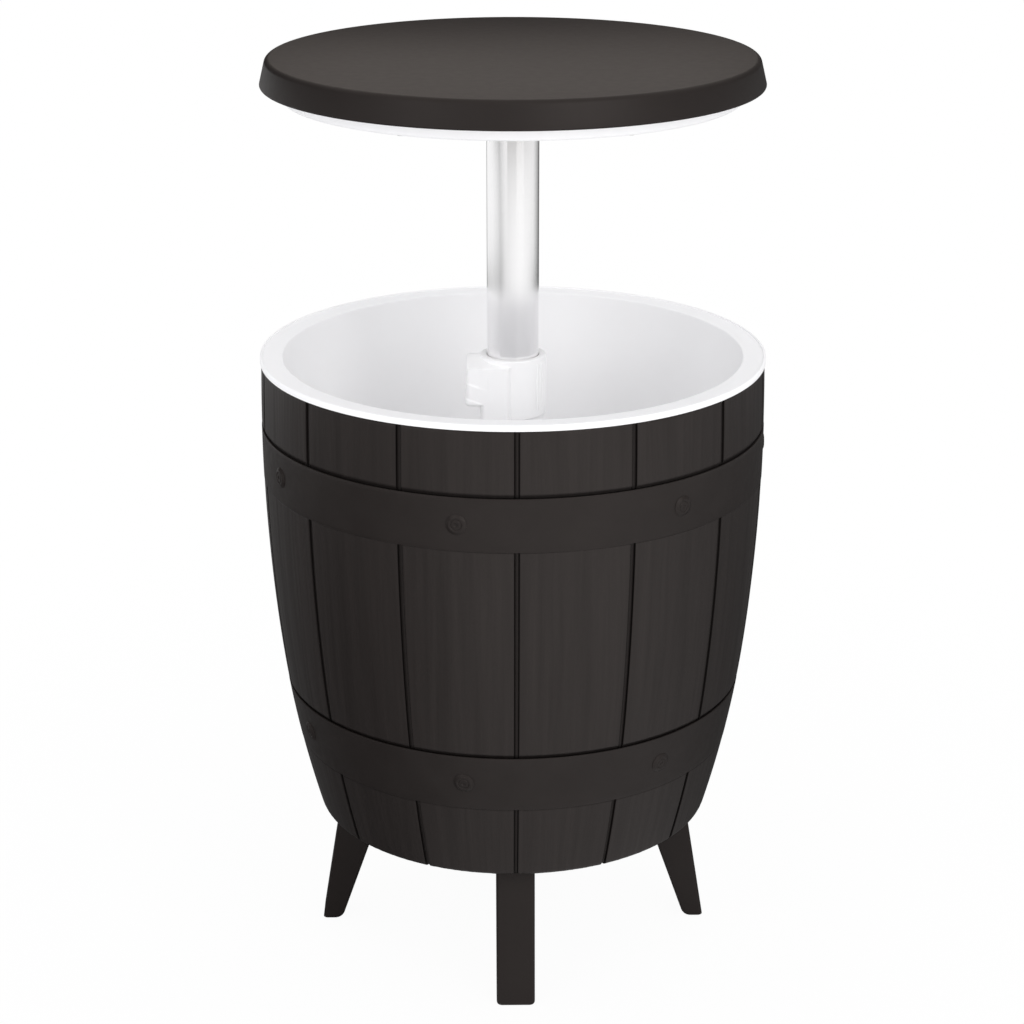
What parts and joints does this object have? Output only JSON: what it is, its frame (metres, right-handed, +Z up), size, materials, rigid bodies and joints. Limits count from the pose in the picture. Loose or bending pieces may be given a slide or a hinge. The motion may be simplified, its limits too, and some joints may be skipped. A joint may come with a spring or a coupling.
{
  "type": "cooler table with lid",
  "caption": "Round barrel-shaped cooler on splayed legs, with a lidded table top on a central pole that slides up and down and is locked by a turning collar.",
  "frame": {"origin": "on the floor, on the pole's axis", "axes": "+Z up along the pole; -Y towards the viewer of the picture, where one leg stands; +X to the viewer's right"},
  "size_m": [0.4624, 0.4606, 0.8425],
  "materials": {
    "dark_resin": "matt moulded resin with a wood grain",
    "white_resin": "smooth satin moulded resin",
    "grey_nylon": "matt",
    "aluminium": "satin anodised tube",
    "zinc_steel": "zinc plated",
    "black_rubber": "matt"
  },
  "bodies": {
    "barrel": {"barrel_shell": "dark_resin", "upper_hoop": "dark_resin", "lower_hoop": "dark_resin", "upper_rivets": "dark_resin", "lower_rivets": "dark_resin", "inner_tub": "white_resin", "tub_screws": "zinc_steel", "guide_tube": "grey_nylon", "base_plate": "dark_resin", "base_screws": "zinc_steel", "front_leg": "dark_resin", "right_leg": "dark_resin", "back_leg": "dark_resin", "left_leg": "dark_resin", "leg_bolts": "zinc_steel", "leg_washers": "zinc_steel", "lock_collet": "grey_nylon", "drain_tube": "white_resin", "drain_seal": "black_rubber", "drain_nut": "grey_nylon"},
    "glide": {"pole_glide_bush": "grey_nylon"},
    "table": {"table_top": "dark_resin", "lid_liner": "white_resin", "liner_screws": "zinc_steel", "pole_head": "grey_nylon", "pole_head_screws": "zinc_steel", "pole_set_screws": "zinc_steel", "pole_tube": "aluminium", "pole_end_plug": "grey_nylon", "pole_end_washer": "zinc_steel", "pole_end_screw": "zinc_steel"},
    "collar": {"lock_collar": "white_resin"},
    "drain_plug": {"drain_plug": "grey_nylon", "plug_ring_seal": "black_rubber"}
  },
  "joints": [
    {"name": "lid_lift", "type": "slide", "parent": "barrel", "child": "glide", "axis": [0, 0, 1], "range_m": [-0.2451, 0]},
    {"name": "table_turn", "type": "hinge", "parent": "glide", "child": "table", "pos_m": [0, 0, 0.44], "axis": [0, 0, 1], "continuous": true},
    {"name": "collar_turn", "type": "hinge", "parent": "barrel", "child": "collar", "pos_m": [0, 0, 0.54], "axis": [0, 0, 1], "range_deg": [0, 90]},
    {"name": "drain_plug_pull", "type": "slide", "parent": "barrel", "child": "drain_plug", "axis": [0, 0, -1], "range_m": [0, 0.03]}
  ]
}
